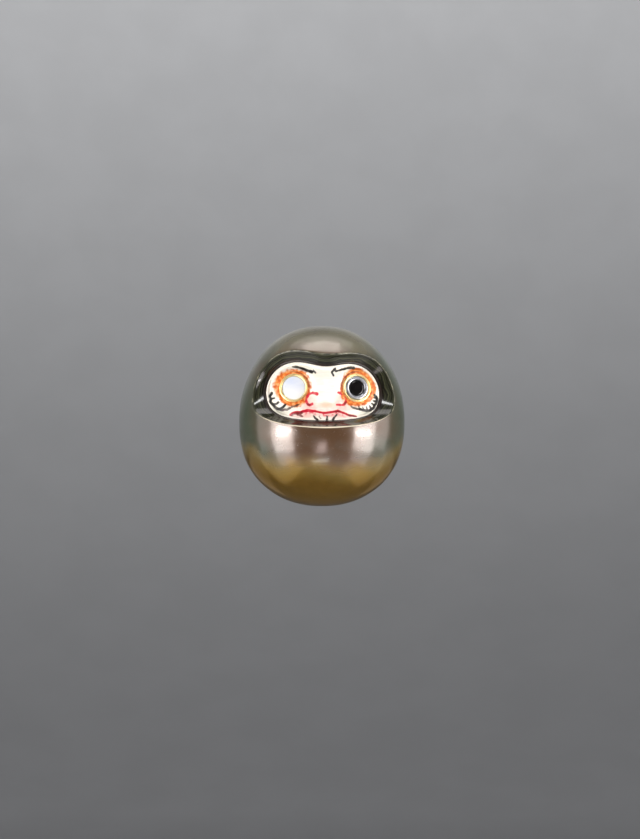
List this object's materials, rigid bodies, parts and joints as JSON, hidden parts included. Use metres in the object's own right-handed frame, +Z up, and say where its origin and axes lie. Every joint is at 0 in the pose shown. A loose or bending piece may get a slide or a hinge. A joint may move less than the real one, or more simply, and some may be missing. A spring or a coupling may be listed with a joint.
{
  "type": "daruma doll",
  "caption": "Egg-shaped daruma carved from a dark iridescent pearl, with a painted white face in a window and round inlaid eyes, half drilled at the back for a post.",
  "frame": {"origin": "under the middle of the pearl's base", "axes": "+Z up through the doll's head, -Y out of the doll's face, +X to the viewer's right"},
  "size_m": [0.0124, 0.0125, 0.0136],
  "materials": {
    "nacre": "polished",
    "conchiolin": "gloss",
    "white_shell": "satin",
    "gold": "polished",
    "mother_of_pearl": "polished",
    "silver": "polished",
    "black_stone": "polished"
  },
  "bodies": {
    "root": {"nacre_shell": "nacre", "conchiolin_layer": "conchiolin", "bead_nucleus": "white_shell", "right_eye_bezel": "gold", "right_eye_disc": "mother_of_pearl", "left_eye_bezel": "gold", "left_eye_iris_ring": "silver", "left_eye_pupil": "black_stone"}
  },
  "joints": []
}
